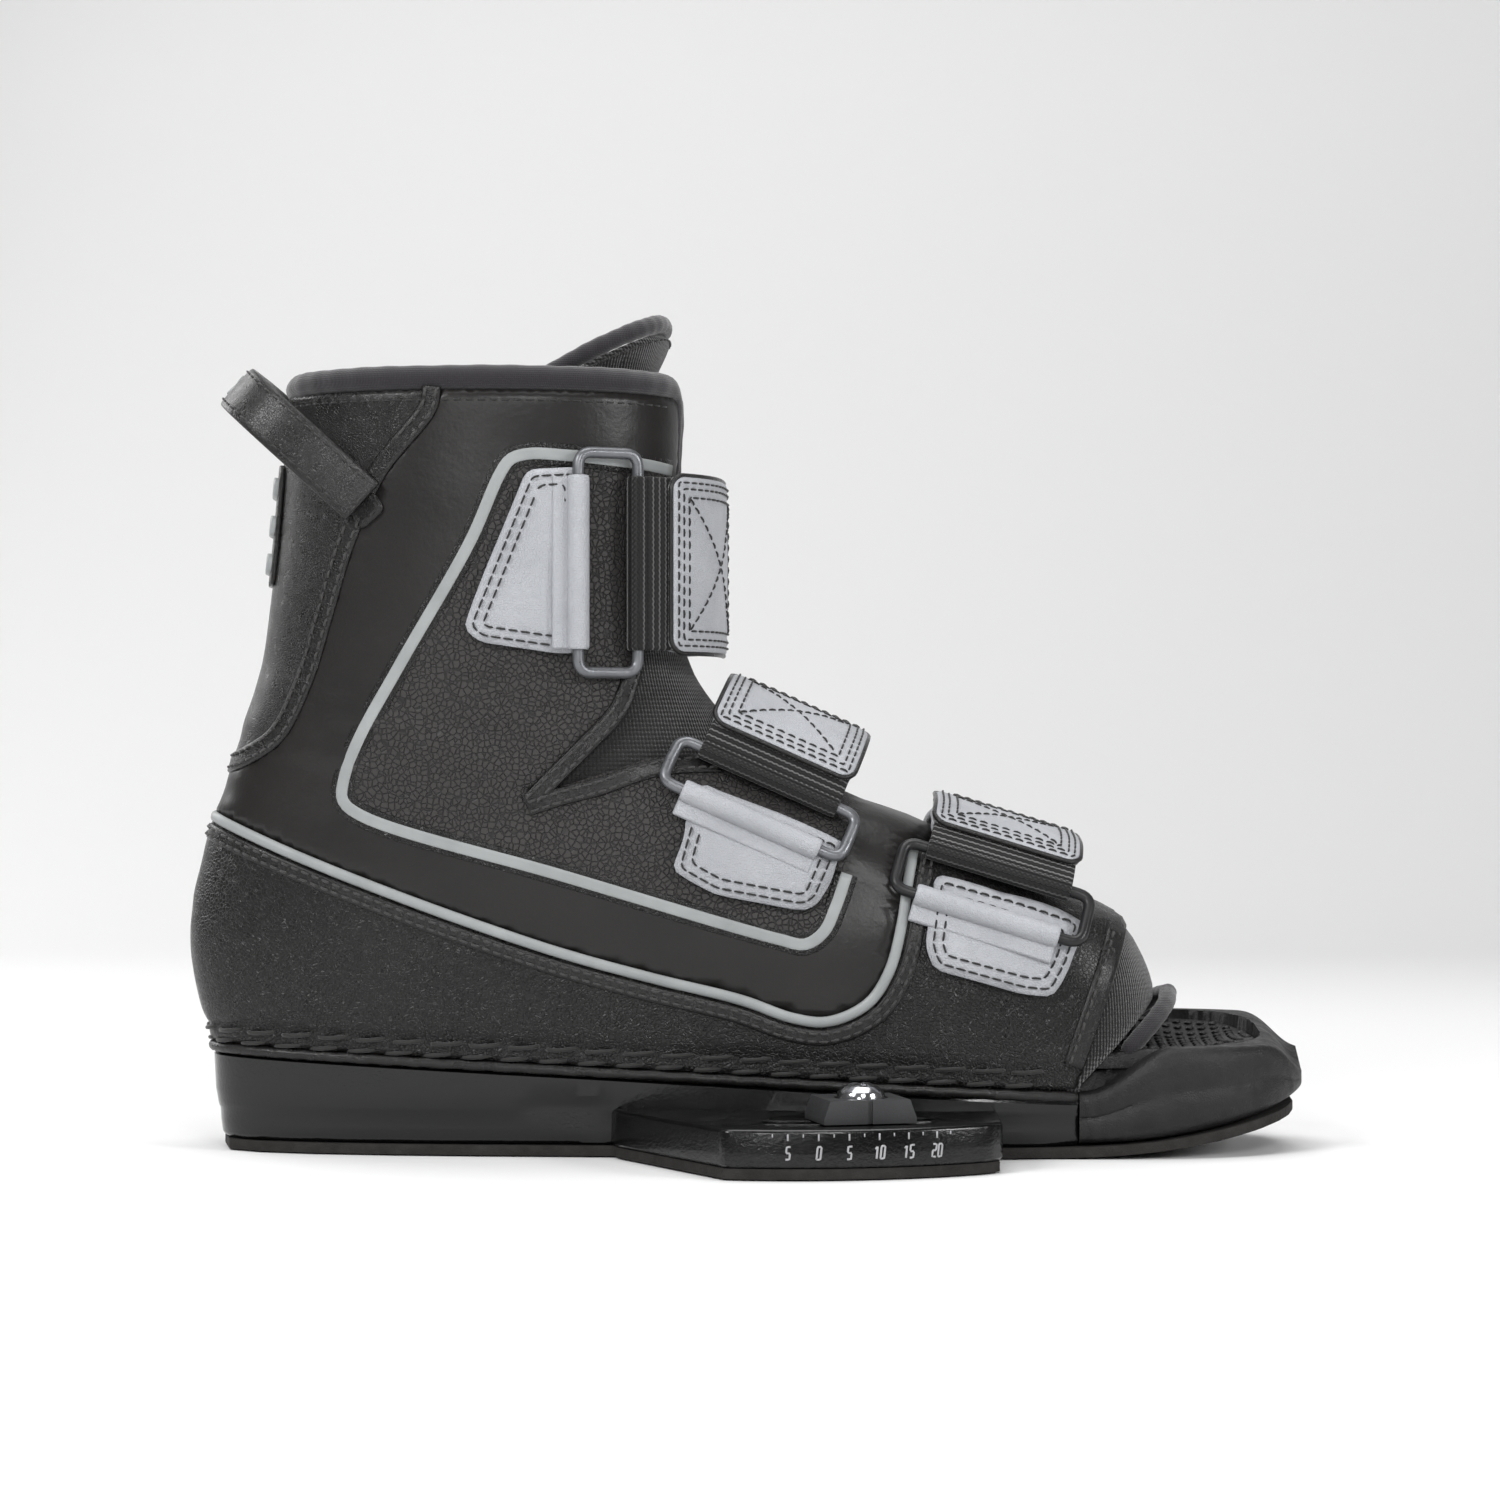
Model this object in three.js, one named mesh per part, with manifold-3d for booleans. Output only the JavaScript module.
// Open-toe wakeboard binding, right foot: moulded chassis, stitched upper and three strap closures.
// Millimetres, +X to the toe, +Y to the inner side, +Z up. The origin is the centre of stance
// rotation on the face that meets the board.
import * as THREE from 'three';
import Module from 'manifold-3d';
import { mergeVertices } from 'three/addons/utils/BufferGeometryUtils.js';

const wasm = await Module();
wasm.setup();

// ---- Driving dimensions ------------------------------------------------------------------

const GAP = 0.3; // clearance between neighbouring pieces
const INSERT_SPACING = 152.4; // the two board screws stand 6 inches apart
const STANCE_REST = 13.8; // where the outer screw sits in its slot, degrees from the transverse line
const STANCE_MIN = -15; // travel of the screws in their slots, degrees from rest
const STANCE_MAX = 10;

const BOLT_RADIUS = 3; // M6
const BOLT_HEAD_RADIUS = 6.8;
const WASHER_BASE = 26;
const WASHER_TOP = 22.5;
const WASHER_DEPTH = 22;
const WASHER_HEIGHT = 6.5;

const GASKET = 3; // thickness of the foam under the chassis
const WING_TOP = 13.6;
const WING_RADIUS = 95;
const WING_HALF_ANGLE = 23;
const TOE_JOINT = 80.6; // where the chassis ends and the toe block starts
const TOE_TIP = 149;

const SOLE_TILT = -0.05; // the sole plane drops towards the toe
const WELT = 21.3; // height of the welt above the origin, measured in the tilted sole plane
const WELT_RADIUS = 1.5;
const BOARD_THICKNESS = 2; // lasting board

const COLLAR = 217; // height of the top edge of the upper
const LEATHER = 2; // outer panels
const PIPING_RADIUS = 1.25; // raised piping between quarter and foxing
const LINER = 4.5; // neoprene bootee

const RING_BAR = 1.65; // radius of the wire of the strap rings
const RING_LIFT = 3.6; // height of the bars above the upper
const KEEPER = 3.2; // outer radius of the leather folded round a bar

// Height, heel, toe, half width at the heel, half width at the ball, roundness of the heel,
// squareness of the toe
const SECTIONS = [
  [6, -166, 108, 36, 44, 0.27, 6],
  [20, -168, 108.5, 37.5, 45.5, 0.27, 6],
  [35, -172, 109, 40, 46.5, 0.27, 6],
  [50, -174.5, 107.5, 41.5, 46.5, 0.28, 6],
  [60, -175, 103.5, 42.5, 46, 0.29, 5.5],
  [67.6, -174.5, 97.6, 43, 45, 0.3, 5],
  [73, -174, 87, 43, 44, 0.31, 4.5],
  [84, -171.5, 62, 43, 43.5, 0.32, 4],
  [96, -168.5, 36, 42.5, 43, 0.32, 3.4],
  [102, -166, 19, 42.5, 43, 0.32, 3],
  [115, -162, -6, 43, 43, 0.33, 2.6],
  [128, -158, -19, 43.5, 43.5, 0.33, 2.3],
  [140, -154.5, -27, 44, 44, 0.34, 2.1],
  [160, -151.5, -32, 45, 45, 0.35, 2],
  [185, -149, -32.5, 46, 46, 0.36, 2],
  [205, -147.5, -32, 46.5, 46.5, 0.36, 2],
  [232, -146, -31.5, 47, 47, 0.36, 2],
];
const TOE_ROUNDNESS = 0.36;
const RING_POINTS = 28; // points round one section of the upper
const LEVELS = [6, 22, 36, 50, 60, 67, 73, 80, 88, 96, 103, 112, 122, 134, 150, 176, 204, 232];

// Seam lines of the upper, side view: x and z
const BACK_SEAM = [[-99, 240], [-100.5, 211], [-116, 193], [-125, 174], [-132, 152], [-137.5, 135],
  [-146, 119], [-156, 113], [-180, 109]];
const PIPING_LINE = [[-180, 100], [-167, 96], [-142, 85.5], [-117.5, 76], [-93.5, 67.3], [-65.6, 58],
  [-40, 51], [-14.4, 44.8], [0, 39.8], [10, 38.9], [21, 44], [27, 53], [30.7, 66.7], [32.5, 78],
  [36, 90], [38, 102]];
const NOTCH = [[-75, 102.2], [-62, 114.8], [-49.8, 126.5], [-43.4, 139.4], [-38.5, 150], [-35.5, 175],
  [-32.6, 200], [-31.8, 240], [60, 240], [60, 118], [-5, 115.5], [-29.3, 114.4], [-41.7, 112.7],
  [-55.2, 108.2]];
const THROAT_HALF_WIDTH = 11;
const UPPER_FRONT = [[97.8, 68.2], [80, 19]]; // front edge of the leather, top and bottom
const LINER_FRONT = [[108.5, 45.5], [82, 20]]; // front edge of the bootee, top and bottom

const STRAPS = {
  ankle: { slope: 90, middle: [-75, 168], half: 25, ring: 31, bars: [50, 72], tabEnd: -8, root: -84 },
  instep: { slope: -24, middle: [-17.5, 83], half: 21.5, ring: 27.5, bars: [55, 73], tabEnd: 2, root: -88 },
  toe: { slope: -17, middle: [49, 51], half: 21.5, ring: 27.5, bars: [50, 68], tabEnd: -2, root: -86 },
};
const ANCHORS = {
  ankle: [[-75.5, 194.5], [-60, 195.5], [-60, 142], [-67, 142], [-88, 145], [-93.5, 149]],
  instep: [[-30, 97], [-27, 106], [15, 88.5], [13, 84], [7.6, 71.5], [3, 69], [-22, 74], [-34.5, 81]],
  toe: [[37.5, 66], [39.5, 80], [82, 66.5], [78, 54], [73, 45], [64, 46], [39, 53], [36.5, 60]],
};

const PULL_HINGE = [-121, 185];
const PULL_ANGLE = 138; // the loop leans up and back from its hinge
const PULL_REACH = 53;
const PULL_HALF_WIDTH = 46;
const PULL_BAND = 14;
const PULL_THICKNESS = 2.4;

// ---- Small helpers -----------------------------------------------------------------------

const radians = THREE.MathUtils.degToRad;
const vector = (x, y, z) => new THREE.Vector3(x, y, z);
const spread = (first, last, steps) => Array.from({ length: steps + 1 },
  (_, i) => first + ((last - first) * i) / steps);

// Smooth value of one column of a table whose first column rises
function lookUp(table, value, column) {
  const last = table.length - 1;
  let row = 0;
  while (row < last - 1 && table[row + 1][0] < value) row += 1;
  const slope = (i) => {
    const low = table[Math.max(i - 1, 0)];
    const high = table[Math.min(i + 1, last)];
    return (high[column] - low[column]) / (high[0] - low[0]);
  };
  const [start, end] = [table[row], table[row + 1]];
  const width = end[0] - start[0];
  const t = THREE.MathUtils.clamp((value - start[0]) / width, 0, 1);
  return (2 * t ** 3 - 3 * t ** 2 + 1) * start[column] + (t ** 3 - 2 * t ** 2 + t) * width * slope(row)
    + (3 * t ** 2 - 2 * t ** 3) * end[column] + (t ** 3 - t ** 2) * width * slope(row + 1);
}

// Closed surface through rings of points. Each ring is capped by strips that join point i to its
// partner; a ring with tips has points 0 and n/2 on its line of symmetry.
function loft(rings, { closed = false, tips = false } = {}) {
  const count = rings[0].length;
  const index = [];
  const quad = (a, b, c, d) => index.push(a, b, c, a, c, d);
  const lastRing = closed ? rings.length : rings.length - 1;
  for (let r = 0; r < lastRing; r += 1) {
    const low = r * count;
    const high = ((r + 1) % rings.length) * count;
    for (let i = 0; i < count; i += 1) {
      const j = (i + 1) % count;
      quad(low + i, low + j, high + j, high + i);
    }
  }
  const cap = (start, flip) => {
    for (let i = 0; i < count / 2 - (tips ? 0 : 1); i += 1) {
      const partner = tips ? (count - i) % count : count - 1 - i;
      const nextPartner = tips ? count - i - 1 : count - 2 - i;
      const corners = [i, i + 1, nextPartner, partner].filter((v, k, all) => all.indexOf(v) === k);
      if (flip) corners.reverse();
      for (let k = 1; k + 1 < corners.length; k += 1) {
        index.push(start + corners[0], start + corners[k], start + corners[k + 1]);
      }
    }
  };
  if (!closed) {
    cap(0, true);
    cap((rings.length - 1) * count, false);
  }
  const points = rings.flat();
  let volume = 0;
  for (let i = 0; i < index.length; i += 3) {
    const [a, b, c] = [points[index[i]], points[index[i + 1]], points[index[i + 2]]];
    volume += a.dot(b.clone().cross(c));
  }
  if (volume < 0) index.reverse();
  const geometry = new THREE.BufferGeometry();
  geometry.setAttribute('position', new THREE.Float32BufferAttribute(points.flatMap((p) => p.toArray()), 3));
  geometry.setIndex(index);
  return geometry;
}

function solid(geometry) {
  const bare = geometry.clone();
  bare.deleteAttribute('normal');
  bare.deleteAttribute('uv');
  const merged = mergeVertices(bare, 1e-4);
  return new wasm.Manifold(new wasm.Mesh({
    numProp: 3,
    vertProperties: merged.attributes.position.array,
    triVerts: new Uint32Array(merged.index.array),
  }));
}

function geometryOf(manifold) {
  const mesh = manifold.getMesh();
  const geometry = new THREE.BufferGeometry();
  geometry.setAttribute('position', new THREE.BufferAttribute(mesh.vertProperties.slice(), 3));
  geometry.setIndex(new THREE.BufferAttribute(mesh.triVerts.slice(), 1));
  return geometry;
}

const shapeOf = (points) => new THREE.Shape(points.map(([x, y]) => new THREE.Vector2(x, y)));

// Prism over a plan outline
function planPrism(points, bottom, top) {
  const geometry = new THREE.ExtrudeGeometry(shapeOf(points), { depth: top - bottom, bevelEnabled: false });
  return geometry.translate(0, 0, bottom);
}

// Prism over a side outline (x, z), from one y to a greater one
function sidePrism(points, right = -200, left = 200) {
  const geometry = new THREE.ExtrudeGeometry(shapeOf(points), { depth: left - right, bevelEnabled: false });
  return geometry.rotateX(Math.PI / 2).translate(0, left, 0);
}

// Round bar from one point to another
function bar(from, to, radius, sides = 12) {
  const axis = to.clone().sub(from);
  const geometry = new THREE.CylinderGeometry(radius, radius, axis.length(), sides);
  geometry.applyQuaternion(new THREE.Quaternion().setFromUnitVectors(vector(0, 1, 0), axis.clone().normalize()));
  const middle = from.clone().add(to).multiplyScalar(0.5);
  return geometry.translate(middle.x, middle.y, middle.z);
}

// Round cord along a list of points
function cord(points, radius, { closed = false, sides = 8 } = {}) {
  const rings = points.map((point, i) => {
    const before = closed ? points[(i + points.length - 1) % points.length] : points[Math.max(i - 1, 0)];
    const after = closed ? points[(i + 1) % points.length] : points[Math.min(i + 1, points.length - 1)];
    const along = after.clone().sub(before).normalize();
    const across = vector(0, 0, 1).cross(along);
    if (across.length() < 0.2) across.set(0, 1, 0);
    across.normalize();
    const up = along.clone().cross(across).normalize();
    return spread(0, 2 * Math.PI, sides).slice(0, -1).map((turn) => point.clone()
      .addScaledVector(across, radius * Math.cos(turn)).addScaledVector(up, radius * Math.sin(turn)));
  });
  return loft(rings, { closed, tips: true });
}

// ---- The form of the foot ----------------------------------------------------------------

// Heights are measured in the sole plane, whose tilt fades out towards the ankle
const tiltAt = (height) => SOLE_TILT * THREE.MathUtils.clamp(1 - (height - WELT) / 60, 0, 1);

function halfWidth(height, x) {
  const heel = lookUp(SECTIONS, height, 3);
  const ball = lookUp(SECTIONS, height, 4);
  return heel + (ball - heel) * THREE.MathUtils.smoothstep(x, -70, 40);
}

// Share of the half width at a place from -1, the toe, to 1, the heel
function fullness(height, place) {
  if (place > 0) return (1 - place ** 2) ** lookUp(SECTIONS, height, 5);
  return (1 - Math.abs(place) ** lookUp(SECTIONS, height, 6)) ** TOE_ROUNDNESS;
}

// Point of the upper: turn 0 is the heel, pi the toe, and the outer side lies between
function skinPoint(height, turn) {
  const back = lookUp(SECTIONS, height, 1);
  const front = lookUp(SECTIONS, height, 2);
  const x = (front + back) / 2 - ((front - back) / 2) * Math.cos(turn);
  const y = -Math.sign(Math.sin(turn)) * fullness(height, Math.cos(turn)) * halfWidth(height, x);
  return vector(x, y, height + tiltAt(height) * x);
}

function skin(height, turn, offset = 0) {
  const step = 0.02;
  const round = skinPoint(height, turn + step).sub(skinPoint(height, turn - step));
  const up = skinPoint(height + 1, turn).sub(skinPoint(height - 1, turn));
  const normal = round.cross(up).normalize();
  return skinPoint(height, turn).addScaledVector(normal, offset);
}

const sectionRing = (height, offset) => spread(0, 2 * Math.PI, RING_POINTS).slice(0, -1)
  .map((turn) => skin(height, turn, offset));

// Solid inside the skin
const form = (offset) => solid(loft(LEVELS.map((level) => sectionRing(level, offset)), { tips: true }));

// Everything between two heights of the sole plane, or of the level plane at the collar
function between(low, high) {
  const at = (x, height) => height + tiltAt(height) * x;
  return solid(sidePrism([[-220, at(-220, low)], [220, at(220, low)], [220, at(220, high)],
    [-220, at(-220, high)]]));
}

// Layer between two distances from the skin, open at both ends
const layer = (inner, outer, low, high) => form(outer).subtract(form(inner)).intersect(between(low, high));

// Everything in front of a slanting line in the side view
function ahead([top, bottom], shift = 0) {
  const rise = (top[0] - bottom[0]) / (top[1] - bottom[1]);
  const at = (z) => bottom[0] + shift + rise * (z - bottom[1]);
  return solid(sidePrism([[at(-60), -60], [300, -60], [300, 200], [at(200), 200]]));
}

const halfSpace = (outer) => solid(planPrism(outer
  ? [[-250, -200], [250, -200], [250, -GAP / 2], [-250, -GAP / 2]]
  : [[-250, GAP / 2], [250, GAP / 2], [250, 200], [-250, 200]], -50, 300));

// ---- Upper -------------------------------------------------------------------------------

const smoothLine = (line, steps) => new THREE.SplineCurve(line.map(([x, z]) => new THREE.Vector2(x, z)))
  .getSpacedPoints(steps).map((point) => [point.x, point.y]);
const seamLine = smoothLine(PIPING_LINE, 30);
const behindSeam = (shift) => solid(sidePrism([...BACK_SEAM.map(([x, z]) => [x + shift, z]), [-260, 109],
  [-260, 240]]));
const aboveSeam = () => solid(sidePrism([...seamLine, [38, 260], [-260, 260], [-260, 100]]));
const throat = (half) => solid(sidePrism([[-40, 60], [200, 40], [200, 300], [-40, 300]], -half, half));
const notch = () => solid(sidePrism(NOTCH));

// Line of the raised piping between quarter and foxing
function pipingPath(side) {
  return seamLine.slice(2, -5).map(([x, z]) => vector(x, side * (surfaceDepth(x, z) - 0.4), z));
}

const pipingGrooves = solid(cord(pipingPath(-1), PIPING_RADIUS + GAP + 0.1, { sides: 6 }))
  .add(solid(cord(pipingPath(1), PIPING_RADIUS + GAP + 0.1, { sides: 6 })));
const leather = layer(-LEATHER, 0, WELT + WELT_RADIUS + GAP, COLLAR)
  .subtract(ahead(UPPER_FRONT)).subtract(throat(THROAT_HALF_WIDTH)).subtract(notch())
  .subtract(pipingGrooves);
const backPanel = leather.intersect(behindSeam(0));
const quarters = leather.intersect(aboveSeam().translate(0, 0, GAP / 2)).subtract(behindSeam(GAP));
const foxing = leather.subtract(aboveSeam().translate(0, 0, -GAP / 2)).subtract(behindSeam(GAP));

// Half width of the skin at a place in the side view
function surfaceDepth(x, z) {
  let height = z;
  for (let i = 0; i < 6; i += 1) height = z - tiltAt(height) * x;
  const back = lookUp(SECTIONS, height, 1);
  const front = lookUp(SECTIONS, height, 2);
  const place = ((front + back) / 2 - x) / ((front - back) / 2);
  if (Math.abs(place) >= 1) return 0;
  return fullness(height, place) * halfWidth(height, x);
}

const liner = layer(-LEATHER - GAP - LINER, -LEATHER - GAP, WELT + 0.8, COLLAR - 1)
  .subtract(ahead(LINER_FRONT)).subtract(solid(toeBinding(GAP)))
  .subtract(solid(sidePrism([[-60, 190], [-44, 160], [-20, 150], [0, 240], [-60, 240]], -9, 9)));

function linerPipe() {
  const rings = spread(0.18, 2 * Math.PI - 0.18, 32).map((t) => {
    const turn = Math.PI + t;
    return skin(COLLAR + 3.5, turn, -3.6);
  });
  return cord(rings, 3.4, { sides: 6 });
}

function toeBinding(grow = 0) {
  const [top, bottom] = LINER_FRONT;
  const rise = (top[0] - bottom[0]) / (top[1] - bottom[1]);
  const points = spread(28.8, 45, 9).map((z) => {
    const x = bottom[0] + 3.4 + rise * (z - bottom[1]);
    const depth = Math.max(surfaceDepth(x - 2, z) - 4.4, 0);
    return [x, depth, z];
  });
  const outer = points.map(([x, y, z]) => vector(x, -y, z));
  const inner = points.map(([x, y, z]) => vector(x, y, z)).reverse();
  return cord(new THREE.CatmullRomCurve3([...outer, ...inner]).getSpacedPoints(26), 2.6 + grow, { sides: 6 });
}

function tonguePoint(along, across, offset) {
  const reach = radians(74);
  const top = 236 - 21 * across * across;
  const height = 128 + (top - 128) * along;
  const clamped = Math.min(height, 229);
  const inset = -8.4 + 4.4 * THREE.MathUtils.smoothstep(height, 222, 236);
  const point = skin(clamped, Math.PI + across * reach, inset + offset);
  point.z += height - clamped;
  return point;
}

function tongue() {
  const steps = spread(-1, 1, 12);
  const rings = spread(0, 1, 7).map((along) => [
    ...steps.map((across) => tonguePoint(along, across, 0)),
    ...steps.slice().reverse().map((across) => tonguePoint(along, across, -4)),
  ]);
  return loft(rings);
}

const tongueBinding = () => cord(spread(-0.98, 0.98, 18).map((across) => {
  const edge = tonguePoint(1, across, -2);
  return edge.setZ(edge.z + 3.1);
}), 2.6, { sides: 6 });

function weltPiping() {
  const points = spread(Math.PI + 0.62, 3 * Math.PI - 0.62, 40).map((turn) => skin(WELT, turn, 0.1));
  return cord(points.filter((point) => point.x < TOE_JOINT - 1), WELT_RADIUS, { sides: 6 });
}

// Raised bars up the spine of the back panel
function heelBadge() {
  const plate = layer(GAP, 1.6, 162, 198);
  const bars = [166, 177, 188].map((low) => layer(0.8, 2.8, low, low + 6));
  const strip = solid(planPrism([[-180, -8], [-130, -8], [-130, 8], [-180, 8]], 0, 240));
  return bars.reduce((all, each) => all.add(each), plate).intersect(strip);
}

function pullLoop() {
  const angle = radians(PULL_ANGLE);
  const along = vector(Math.cos(angle), 0, Math.sin(angle));
  const width = vector(Math.sin(angle), 0, -Math.cos(angle));
  const origin = vector(PULL_HINGE[0], 0, PULL_HINGE[1]);
  const section = (inset) => spread(-1, 1, 28).map((t) => {
    const turn = (t * Math.PI) / 2;
    const y = (PULL_HALF_WIDTH - inset) * Math.sign(Math.sin(turn)) * Math.abs(Math.sin(turn)) ** 0.5;
    const reach = (PULL_REACH - inset) * Math.cos(turn) ** 0.5;
    return [y, reach];
  });
  const outline = [...section(0), ...section(PULL_THICKNESS).reverse()];
  return loft([-PULL_BAND / 2, PULL_BAND / 2].map((shift) => outline.map(([y, reach]) => origin.clone()
    .addScaledVector(along, reach).addScaledVector(width, shift).add(vector(0, y, 0)))));
}

// ---- Straps ------------------------------------------------------------------------------

function strapFrame(strap) {
  const slope = radians(strap.slope);
  const along = vector(Math.cos(slope), 0, Math.sin(slope)); // across the band, parallel to the ring bars
  const out = strap.slope > 0 ? vector(1, 0, 0) : vector(-Math.sin(slope), 0, Math.cos(slope));
  return { along, out, middle: vector(strap.middle[0], 0, strap.middle[1]) };
}

const insideSkin = (point) => Math.abs(point.y) < surfaceDepth(point.x, point.z);

// Distance from the strap's axis to the skin, the greatest over the width of the band
function strapReach(strap, degrees) {
  const { along, out, middle } = strapFrame(strap);
  const ray = out.clone().multiplyScalar(Math.cos(radians(degrees)));
  ray.y = -Math.sin(radians(degrees));
  return Math.max(...[-0.96, -0.5, 0, 0.5, 0.96].map((share) => {
    const start = middle.clone().addScaledVector(along, share * strap.half);
    let [low, high] = [0, 120];
    for (let i = 0; i < 18; i += 1) {
      const reach = (low + high) / 2;
      if (insideSkin(start.clone().addScaledVector(ray, reach))) low = reach;
      else high = reach;
    }
    return low;
  }));
}

function strapPoint(strap, degrees, offset, shift) {
  const { along, out, middle } = strapFrame(strap);
  const reach = strapReach(strap, degrees) + offset;
  const point = middle.clone().addScaledVector(along, shift);
  point.addScaledVector(out, reach * Math.cos(radians(degrees)));
  point.y -= reach * Math.sin(radians(degrees));
  return point;
}

// Band round the foot from one angle to another; the offsets may change with the angle
function band(strap, from, to, low, high, half = strap.half) {
  const angles = spread(from, to, Math.ceil(Math.abs(to - from) / 8));
  return loft([-half, half].map((shift) => [
    ...angles.map((degrees) => strapPoint(strap, degrees, high(degrees), shift)),
    ...angles.slice().reverse().map((degrees) => strapPoint(strap, degrees, low(degrees), shift)),
  ]));
}

const STRAP_LOW = 1;
const STRAP_HIGH = 5;
const WEBBING_LOW = 5.3;
const WEBBING_HIGH = 6.8;
const TAB_LOW = 7.1;
const TAB_HIGH = 9.4;

function strapBand(strap) {
  const settle = (degrees) => THREE.MathUtils.smoothstep(degrees, strap.root, strap.root + 45);
  const end = strap.bars[0] - 11;
  return band(strap, strap.root, end, (degrees) => 0.4 + (STRAP_LOW - 0.4) * settle(degrees),
    (degrees) => 3.4 + (STRAP_HIGH - 3.4) * settle(degrees));
}

function ringBar(strap, which, half) {
  return [-half, half].map((shift) => strapPoint(strap, strap.bars[which], RING_LIFT, shift));
}

// Webbing folded round the outer bar of the ring, with the run that lies back over the strap
function strapWebbing(strap) {
  const [from, to] = ringBar(strap, 0, strap.half);
  const fold = solid(bar(from, to, KEEPER)).subtract(solid(bar(...ringBar(strap, 0, strap.half + 5),
    RING_BAR + GAP + 0.1)));
  const run = solid(band(strap, strap.tabEnd + 3, strap.bars[0] - 1, () => WEBBING_LOW, () => WEBBING_HIGH));
  const run2 = solid(band(strap, strap.bars[0] - 9, strap.bars[0] + 1, () => RING_LIFT + RING_BAR + GAP, () => WEBBING_HIGH));
  return fold.add(run).add(run2);
}

const strapTab = (strap) => band(strap, strap.tabEnd, strap.bars[0] - 8, () => TAB_LOW, () => TAB_HIGH,
  strap.half + 0.3);

function strapRing(strap, radius = RING_BAR) {
  const corner = 4;
  const [a, b] = ringBar(strap, 0, strap.ring);
  const [d, c] = ringBar(strap, 1, strap.ring);
  const towards = (from, to) => to.clone().sub(from).setLength(corner).add(from);
  const points = [[d, a, b], [a, b, c], [b, c, d], [c, d, a]].flatMap(([before, at, after]) => {
    const curve = new THREE.QuadraticBezierCurve3(towards(at, before), at, towards(at, after));
    return curve.getPoints(3);
  });
  const normal = b.clone().sub(a).cross(d.clone().sub(a)).normalize();
  const rings = points.map((point, i) => {
    const before = points[(i + points.length - 1) % points.length];
    const after = points[(i + 1) % points.length];
    const out = after.clone().sub(before).normalize().cross(normal);
    return spread(0, 2 * Math.PI, 8).slice(0, -1).map((turn) => point.clone()
      .addScaledVector(out, radius * Math.cos(turn)).addScaledVector(normal, radius * Math.sin(turn)));
  });
  return loft(rings, { closed: true });
}

// Patch sewn to the quarter, folded round the inner bar of the ring
function strapAnchor(name) {
  const strap = STRAPS[name];
  const half = strap.half - 0.5;
  const [from, to] = ringBar(strap, 1, half);
  const hole = solid(strapRing(strap, RING_BAR + GAP + 0.1));
  const patch = layer(GAP, 2.8, 26, 212).intersect(solid(sidePrism(ANCHORS[name], -200, 0)));
  const link = solid(band(strap, strap.bars[1] - 2, strap.bars[1] + 9, () => 0.6, () => 3, half));
  return patch.add(link).add(solid(bar(from, to, KEEPER))).subtract(hole);
}

// ---- Chassis and sole --------------------------------------------------------------------

// Plan outline of one wing; the inner wing is the outer one turned half a turn about the origin
function wingOutline(grow) {
  const centre = STANCE_REST + (STANCE_MIN + STANCE_MAX) / 2;
  const at = (degrees, radius) => [radius * Math.sin(radians(degrees)), -radius * Math.cos(radians(degrees))];
  const rim = spread(centre - WING_HALF_ANGLE, centre + WING_HALF_ANGLE, 10)
    .map((degrees) => at(degrees, WING_RADIUS + grow));
  return [[-56 - grow, -20], [-50 - grow, -41], ...rim, [57 + grow, -74], [58 + grow, -20]];
}

const turned = (outline) => outline.map(([x, y]) => [-x, -y]);
const wings = (grow, bottom, top) => solid(planPrism(wingOutline(grow), bottom, top))
  .add(solid(planPrism(turned(wingOutline(grow)), bottom, top)));

// Slot for a board screw, an arc about the origin
function slotOutline(half) {
  const radius = INSERT_SPACING / 2;
  const [from, to] = [radians(STANCE_REST + STANCE_MIN - 3), radians(STANCE_REST + STANCE_MAX + 3)];
  const arc = (r) => spread(from, to, 10).map((turn) => [r * Math.sin(turn), -r * Math.cos(turn)]);
  const round = (turn, sign) => spread(0, Math.PI, 6).slice(1, -1).map((a) => {
    const [out, along] = [half * Math.cos(a), sign * half * Math.sin(a)];
    return [(radius + out) * Math.sin(turn) + along * Math.cos(turn),
      -(radius + out) * Math.cos(turn) + along * Math.sin(turn)];
  });
  return [...arc(radius + half), ...round(to, 1), ...arc(radius - half).reverse(), ...round(from, -1).reverse()];
}

const slots = () => solid(planPrism(slotOutline(3.7), -5, 40))
  .add(solid(planPrism(turned(slotOutline(3.7)), -5, 40)));

const flatRing = (height, z, offset) => sectionRing(height, offset).map((point) => point.clone().setZ(z));

function lastingScrewPlaces() {
  return [[-140, 0], [-100, 16], [-100, -16], [55, 0], [20, 20], [20, -20]];
}

const soleHeight = (x, height) => height + SOLE_TILT * x;

function chassis() {
  const top = WELT - WELT_RADIUS - GAP;
  const core = solid(loft([
    flatRing(8, GASKET + GAP, -0.5), flatRing(12, 12, 0), sectionRing(top, 0.4),
  ], { tips: true }));
  const beyondJoint = solid(planPrism([[TOE_JOINT, -120], [200, -120], [200, 120], [TOE_JOINT, 120]], -10, 80));
  const body = core.add(wings(0, GASKET + GAP, WING_TOP)).subtract(beyondJoint);
  const waist = sidePrism([[-88, 1], [-86, 10], [-74, 15], [-60, 17], [-52, 16.5], [-50, 1]], -60, -34.5);
  const farWaist = sidePrism([[-88, 1], [-86, 10], [-74, 15], [-62, 17], [-60, 16], [-58, 1]], 34.5, 60);
  const screwHoles = lastingScrewPlaces().map(([x, y]) => solid(bar(vector(x, y, 5), vector(x, y, 60), 2.6, 12)));
  return [waist, farWaist].map((each) => solid(each)).concat(screwHoles, [slots()])
    .reduce((all, cut) => all.subtract(cut), body);
}

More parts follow.
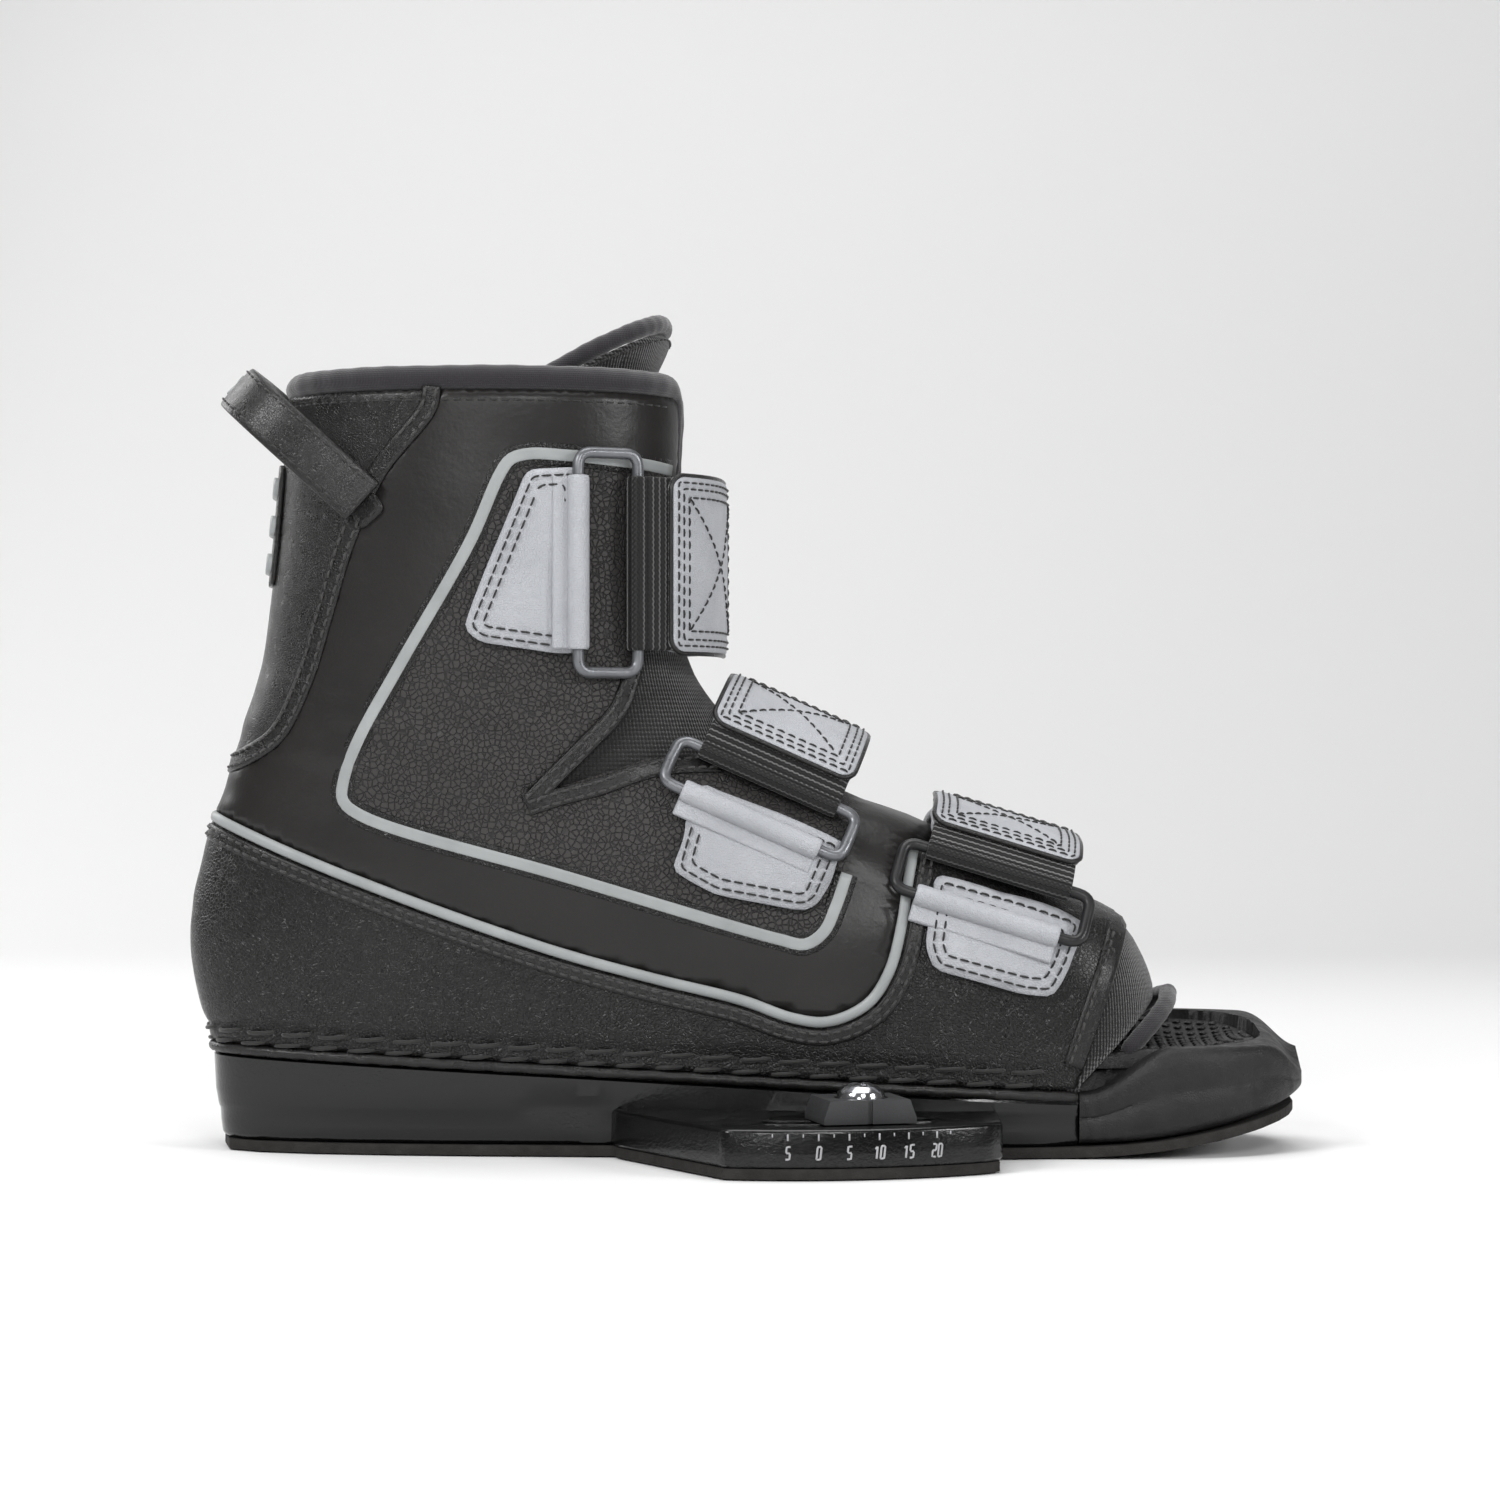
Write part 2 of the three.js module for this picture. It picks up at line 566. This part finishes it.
// Side outline of the gasket: flat under the chassis, curling up under the toe
function gasketProfile() {
  const curl = spread(0, 1, 8).map((t) => [75 + 76 * t, 12.5 * t * t]);
  return [[-180, 0], ...curl, ...curl.slice().reverse().map(([x, z]) => [x, z + GASKET]), [-180, GASKET]];
}

function toeOutline(grow) {
  const half = 44 + grow;
  const centre = 92;
  const round = spread(-Math.PI / 2, Math.PI / 2, 16).map((turn) => [
    centre + (TOE_TIP - 0.4 + grow - centre) * Math.cos(turn) ** 0.72,
    half * Math.sign(Math.sin(turn)) * Math.abs(Math.sin(turn)) ** 0.8,
  ]);
  return [[60, -half + 1], ...round, [60, half - 1]];
}

function baseGasket() {
  const heel = solid(loft([flatRing(8, -1, -0.3), flatRing(8, 30, -0.3)], { tips: true }));
  const toe = solid(planPrism(toeOutline(-2.5), -1, 30));
  const plan = heel.add(toe).add(wings(-0.8, -1, 30));
  return plan.intersect(solid(sidePrism(gasketProfile()))).subtract(slots());
}

// Section of the toe block across the foot, from its lower outer corner round to the inner one
function toeSection(x) {
  const t = (x - TOE_JOINT) / (TOE_TIP - TOE_JOINT);
  const round = Math.sqrt(Math.max(1 - ((x - 92) / (TOE_TIP - 92)) ** 2, 0)) ** 0.85;
  const full = 41.3 + 2.2 * THREE.MathUtils.smoothstep(x, TOE_JOINT, 104);
  const half = x < 92 ? full : Math.max(full * round, 7);
  const bottom = GASKET + GAP + 0.4 + (x > 75 ? 12.5 * ((x - 75) / 76) ** 2 : 0) + 3 * t ** 6;
  const rise = THREE.MathUtils.smoothstep(x, TOE_JOINT + 2, 108);
  const drop = 9 * THREE.MathUtils.smoothstep(x, 132, TOE_TIP) ** 2;
  const [outer, inner] = [18.5 + 12.5 * rise - drop, 18.5 + 18.5 * rise - drop];
  const at = (rim, share) => bottom + (rim - bottom) * share;
  const line = [[-0.93, bottom], [-1, at(outer, 0.3)], [-0.99, at(outer, 0.7)], [-0.93, at(outer, 0.93)],
    [-0.85, outer], [0, (outer + inner) / 2], [0.85, inner], [0.93, at(inner, 0.93)],
    [0.99, at(inner, 0.7)], [1, at(inner, 0.3)], [0.93, bottom], [0, bottom]];
  return line.map(([share, z]) => vector(x, share * half, z));
}

const footbedOutline = (grow) => {
  const round = spread(-Math.PI / 2, Math.PI / 2, 12).map((turn) => [
    96 + (40 + grow) * Math.cos(turn) ** 0.75,
    (34 + grow) * Math.sign(Math.sin(turn)) * Math.abs(Math.sin(turn)) ** 0.85,
  ]);
  return [[TOE_JOINT - 12, -34 - grow], ...round, [TOE_JOINT - 12, 34 + grow]];
};
const POCKET_FLOOR = 24.5;

function toeBlock() {
  const stations = [TOE_JOINT + GAP, 88, 96, 106, 118, 128, 136, 142, 146, TOE_TIP - 0.3];
  const block = solid(loft(stations.map(toeSection)));
  const pocket = solid(planPrism(footbedOutline(0.4), POCKET_FLOOR, 60));
  return block.subtract(pocket);
}

function footbed() {
  const low = (x) => soleHeight(x, WELT + 0.8 + GAP);
  const profile = sidePrism([[-172, low(-172)], [TOE_JOINT - GAP - 0.6, low(TOE_JOINT)],
    [TOE_JOINT - GAP - 0.6, POCKET_FLOOR + GAP], [140, POCKET_FLOOR + GAP], [140, 29], [100, 29], [40, 29.5],
    [-40, 33], [-100, 37], [-172, 39]]);
  const inside = form(-LEATHER - LINER - 2 * GAP)
    .subtract(solid(planPrism([[70, -90], [200, -90], [200, 90], [70, 90]], -10, 200)));
  const front = solid(planPrism(footbedOutline(0), 0, 60));
  return inside.add(front).intersect(solid(profile)).subtract(solid(toeBinding(GAP)))
    .subtract(form(-LEATHER).subtract(form(-LEATHER - LINER - 2 * GAP)).subtract(ahead(LINER_FRONT, GAP)));
}

function lastingBoard() {
  const top = WELT + 0.8 - GAP;
  const board = form(-LEATHER - GAP).intersect(between(top - BOARD_THICKNESS, top));
  const front = solid(planPrism([[TOE_JOINT - 1, -120], [200, -120], [200, 120], [TOE_JOINT - 1, 120]], -10, 80));
  const holes = lastingScrewPlaces().map(([x, y]) => solid(bar(vector(x, y, 5), vector(x, y, 60), 2.6, 12)));
  return holes.reduce((all, hole) => all.subtract(hole), board.subtract(front));
}

// Countersunk tack that holds the lasting board down on the chassis
function lastingScrew(x, y) {
  const top = soleHeight(x, WELT + 0.3);
  const profile = [[0, -12], [1.8, -12], [2.2, -11], [2.2, 0], [0, 0]];
  const geometry = new THREE.LatheGeometry(profile.map(([r, z]) => new THREE.Vector2(r, z)), 8);
  return geometry.rotateX(Math.PI / 2).translate(x, y, top);
}

// ---- Board screws ------------------------------------------------------------------------

// Turns a piece modelled at the outer side of the transverse line to its place in the slot
const toSlot = (geometry, inner) => geometry.rotateZ(radians(STANCE_REST) + (inner ? Math.PI : 0));
const WASHER_BOTTOM = WING_TOP + GAP;

function washer(inner) {
  const radius = INSERT_SPACING / 2;
  const profile = [[-WASHER_BASE / 2, 0], [WASHER_BASE / 2, 0], [WASHER_BASE / 2, 1.6],
    [WASHER_TOP / 2, WASHER_HEIGHT], [1.2, WASHER_HEIGHT], [-1.2, WASHER_HEIGHT],
    [-WASHER_TOP / 2, WASHER_HEIGHT], [-WASHER_BASE / 2, 1.6]]
    .map(([x, z]) => [x, z + WASHER_BOTTOM]);
  const body = solid(sidePrism(profile, -radius - WASHER_DEPTH / 2 + 1, -radius + WASHER_DEPTH / 2));
  const hole = solid(bar(vector(0, -radius, 0), vector(0, -radius, 40), BOLT_RADIUS + GAP, 14));
  const seat = solid(bar(vector(0, -radius, WASHER_BOTTOM + 4.4), vector(0, -radius, 40), BOLT_HEAD_RADIUS + 0.7, 18));
  const mark = solid(sidePrism([[-0.6, 12], [0.6, 12], [0.6, 40], [-0.6, 40]], -radius - 20, -radius - 9.2));
  return toSlot(geometryOf(body.subtract(hole).subtract(seat).subtract(mark)), inner);
}

function boardScrew(inner) {
  const radius = INSERT_SPACING / 2;
  const seat = WASHER_BOTTOM + 4.4 + GAP;
  const dome = spread(0, 1, 4).map((t) => [BOLT_HEAD_RADIUS * Math.cos((t * Math.PI) / 2),
    seat + 1.8 + 4.2 * Math.sin((t * Math.PI) / 2)]);
  const profile = [[0, 1], [2.2, 1], [BOLT_RADIUS, 2], [BOLT_RADIUS, seat], [BOLT_HEAD_RADIUS, seat],
    ...dome.slice(0, -1), [0, seat + 6]];
  const body = new THREE.LatheGeometry(profile.map(([r, z]) => new THREE.Vector2(r, z)), 16);
  body.rotateX(Math.PI / 2).translate(0, -radius, 0);
  const blade = (turn) => {
    const slot = new THREE.BoxGeometry(7, 1.4, 6).rotateZ(turn);
    return solid(slot.translate(0, -radius, seat + 6));
  };
  return toSlot(geometryOf(solid(body).subtract(blade(0)).subtract(blade(Math.PI / 2))), inner);
}

// ---- Assembly ----------------------------------------------------------------------------

const finish = (color, roughness, metalness = 0) => ({ color, roughness, metalness });
const FINISHES = {
  satin: finish('#322f2e', 0.45), leather: finish('#262423', 0.5), silver: finish('#b9bcc2', 0.4),
  webbing: finish('#1b1a1a', 0.9), neoprene: finish('#3b3740', 0.85), mesh: finish('#1d1c1c', 0.95),
  piping: finish('#a8adac', 0.45), gloss: finish('#0c0c0c', 0.12), foam: finish('#2a2829', 0.8),
  gasket: finish('#3a3633', 0.9), ring: finish('#8a8d92', 0.35, 0.8), blackRing: finish('#26272a', 0.4, 0.3),
  washer: finish('#4a4b4d', 0.6), screw: finish('#8f9296', 0.15, 1), board: finish('#5a4a3a', 0.9),
};

const model = new THREE.Group();
model.name = 'wakeboard_binding';

function place(name, shape, look) {
  const geometry = shape.isBufferGeometry ? shape : geometryOf(shape);
  const mesh = new THREE.Mesh(geometry, new THREE.MeshStandardMaterial(FINISHES[look]));
  mesh.name = name;
  model.add(mesh);
}

place('chassis', chassis(), 'gloss');
place('base_gasket', baseGasket(), 'gasket');
place('toe_block', toeBlock(), 'foam');
place('footbed', footbed(), 'foam');
place('lasting_board', lastingBoard(), 'board');
lastingScrewPlaces().forEach(([x, y], i) => place(`lasting_screw_${i + 1}`, lastingScrew(x, y), 'screw'));

place('liner', liner, 'neoprene');
place('tongue', tongue(), 'mesh');
place('tongue_binding', tongueBinding(), 'neoprene');
place('collar_binding', linerPipe(), 'neoprene');
place('toe_binding', toeBinding(), 'neoprene');
place('back_panel', backPanel, 'leather');
place('quarter_outer', quarters.intersect(halfSpace(true)), 'satin');
place('quarter_inner', quarters.intersect(halfSpace(false)), 'satin');
place('foxing', foxing, 'leather');
place('quarter_piping_outer', cord(pipingPath(-1), PIPING_RADIUS, { sides: 6 }), 'piping');
place('quarter_piping_inner', cord(pipingPath(1), PIPING_RADIUS, { sides: 6 }), 'piping');
place('welt_piping', weltPiping(), 'leather');
place('heel_badge', heelBadge(), 'silver');
place('pull_loop', pullLoop(), 'leather');

for (const [name, strap] of Object.entries(STRAPS)) {
  place(`${name}_anchor`, strapAnchor(name), 'silver');
  place(`${name}_ring`, strapRing(strap), name === 'toe' ? 'blackRing' : 'ring');
  place(`${name}_strap`, strapBand(strap), 'webbing');
  place(`${name}_webbing`, strapWebbing(strap), 'webbing');
  place(`${name}_tab`, strapTab(strap), 'silver');
}

place('washer_outer', washer(false), 'washer');
place('washer_inner', washer(true), 'washer');
place('board_screw_outer', boardScrew(false), 'screw');
place('board_screw_inner', boardScrew(true), 'screw');

export default model;
